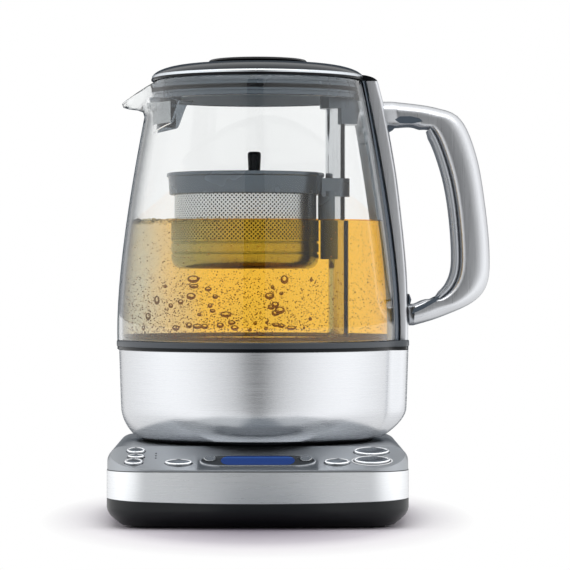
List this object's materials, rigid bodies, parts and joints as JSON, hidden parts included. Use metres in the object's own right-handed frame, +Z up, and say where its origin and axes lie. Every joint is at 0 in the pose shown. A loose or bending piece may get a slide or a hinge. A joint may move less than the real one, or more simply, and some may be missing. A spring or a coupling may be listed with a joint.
{
  "type": "automatic tea maker",
  "caption": "Glass and brushed steel tea jug with a motor-lifted strainer basket on a post, standing on a square power base with a sloping button panel.",
  "frame": {"origin": "on the jug's vertical axis, at the surface that the base's rubber ring stands on", "axes": "+Z up, +X towards the handle, -X towards the spout, -Y towards the control panel"},
  "size_m": [0.2147, 0.1746, 0.26],
  "materials": {
    "satin_silver": "satin silver paint",
    "brushed_band": "horizontally brushed",
    "black_skirt": "fine texture",
    "foot_rubber": "matte",
    "zinc_screw": "zinc plated",
    "display_dark": "glossy",
    "display_blue": "back-lit blue",
    "module_grey": "matte",
    "board_green": "solder resist",
    "switch_grey": "matte",
    "key_silver": "satin metallised",
    "key_chrome": "polished",
    "connector_black": "matte",
    "contact_brass": "plain",
    "jug_steel": "horizontally brushed",
    "seal_grey": "satin",
    "clear_glass": "clear borosilicate",
    "inner_steel": "satin",
    "element_steel": "heat-dulled",
    "motor_steel": "zinc grey",
    "screw_steel": "turned",
    "sled_grey": "acetal",
    "magnet_nickel": "nickel plated",
    "post_steel": "polished stainless",
    "handle_steel": "satin cast",
    "liner_grey": "soft touch",
    "ring_grey": "satin",
    "basket_steel": "etched and bright",
    "knob_black": "glossy",
    "lid_grey": "glossy"
  },
  "bodies": {
    "power_base": {"deck_shell": "satin_silver", "front_fascia": "brushed_band", "base_skirt": "black_skirt", "foot_ring": "foot_rubber", "base_screws": "zinc_screw", "display_frame": "display_dark", "display_lens": "display_blue", "display_module": "module_grey", "control_board": "board_green", "key_switches": "switch_grey", "power_board": "board_green", "base_socket": "connector_black", "socket_contacts": "contact_brass", "cord_gland": "foot_rubber"},
    "hour_button": {"hour_key": "key_silver"},
    "minute_button": {"minute_key": "key_silver"},
    "clock_button": {"clock_key": "key_silver"},
    "timer_button": {"timer_key": "key_silver"},
    "select_left_button": {"select_left_key": "key_chrome"},
    "select_right_button": {"select_right_key": "key_chrome"},
    "warm_button": {"warm_key": "key_silver"},
    "brew_button": {"brew_key": "key_silver"},
    "start_button": {"start_key": "key_silver"},
    "jug": {"jug_foot": "black_skirt", "jug_plug": "connector_black", "steel_cup": "jug_steel", "seal_band": "seal_grey", "glass_wall": "clear_glass", "heater_plate": "inner_steel", "heating_element": "element_steel", "temperature_probe": "motor_steel", "jug_board": "board_green", "post_tube": "post_steel", "post_cap": "lid_grey", "lift_motor": "motor_steel", "handle_column": "handle_steel", "handle_shell": "handle_steel", "handle_liner": "liner_grey", "handle_screws": "zinc_screw"},
    "drive_screw": {"lead_screw": "screw_steel", "shaft_coupling": "contact_brass"},
    "sled": {"magnet_sled": "sled_grey", "sled_magnet": "magnet_nickel"},
    "basket": {"carrier_ring": "ring_grey", "saddle_magnet": "magnet_nickel", "strainer": "basket_steel"},
    "basket_cover": {"basket_lid": "basket_steel", "basket_lid_knob": "knob_black"},
    "lid": {"lid_cap": "lid_grey", "lid_knob": "knob_black", "lid_tab": "knob_black", "lid_collar": "ring_grey", "lid_seal": "foot_rubber", "spout_filter": "ring_grey"}
  },
  "joints": [
    {"name": "hour_press", "type": "slide", "parent": "power_base", "child": "hour_button", "axis": [0, 0.3976, -0.9176], "range_m": [0, 0.001], "stiffness_N_per_m": 300, "springref_m": -0.002},
    {"name": "minute_press", "type": "slide", "parent": "power_base", "child": "minute_button", "axis": [0, 0.3976, -0.9176], "range_m": [0, 0.001], "stiffness_N_per_m": 300, "springref_m": -0.002},
    {"name": "clock_press", "type": "slide", "parent": "power_base", "child": "clock_button", "axis": [0, 0.3976, -0.9176], "range_m": [0, 0.001], "stiffness_N_per_m": 300, "springref_m": -0.002},
    {"name": "timer_press", "type": "slide", "parent": "power_base", "child": "timer_button", "axis": [0, 0.3976, -0.9176], "range_m": [0, 0.001], "stiffness_N_per_m": 300, "springref_m": -0.002},
    {"name": "select_left_press", "type": "slide", "parent": "power_base", "child": "select_left_button", "axis": [0, 0.3976, -0.9176], "range_m": [0, 0.001], "stiffness_N_per_m": 300, "springref_m": -0.002},
    {"name": "select_right_press", "type": "slide", "parent": "power_base", "child": "select_right_button", "axis": [0, 0.3976, -0.9176], "range_m": [0, 0.001], "stiffness_N_per_m": 300, "springref_m": -0.002},
    {"name": "warm_press", "type": "slide", "parent": "power_base", "child": "warm_button", "axis": [0, 0.3976, -0.9176], "range_m": [0, 0.001], "stiffness_N_per_m": 300, "springref_m": -0.002},
    {"name": "brew_press", "type": "slide", "parent": "power_base", "child": "brew_button", "axis": [0, 0.3976, -0.9176], "range_m": [0, 0.001], "stiffness_N_per_m": 300, "springref_m": -0.002},
    {"name": "start_press", "type": "slide", "parent": "power_base", "child": "start_button", "axis": [0, 0.3976, -0.9176], "range_m": [0, 0.001], "stiffness_N_per_m": 300, "springref_m": -0.002},
    {"name": "jug_lift", "type": "slide", "parent": "power_base", "child": "jug", "axis": [0, 0, 1], "range_m": [0, 0.15]},
    {"name": "lid_lift", "type": "slide", "parent": "jug", "child": "lid", "axis": [0, 0, 1], "range_m": [0, 0.06]},
    {"name": "basket_lift", "type": "slide", "parent": "jug", "child": "basket", "axis": [0, 0, 1], "range_m": [-0.032, 0.02]},
    {"name": "basket_lid_lift", "type": "slide", "parent": "basket", "child": "basket_cover", "axis": [0, 0, 1], "range_m": [0, 0.012]},
    {"name": "sled_slide", "type": "slide", "parent": "jug", "child": "sled", "axis": [0, 0, 1], "range_m": [-0.033, 0.021]},
    {"name": "screw_spin", "type": "hinge", "parent": "jug", "child": "drive_screw", "pos_m": [0.0443, 0, 0.09], "axis": [0, 0, 1], "range_deg": [-1000, 640]}
  ],
  "couplings": [
    {"joint": "sled_slide", "follows": "basket_lift", "ratio": 1},
    {"joint": "screw_spin", "follows": "basket_lift", "rad_per_m": 523.6}
  ]
}
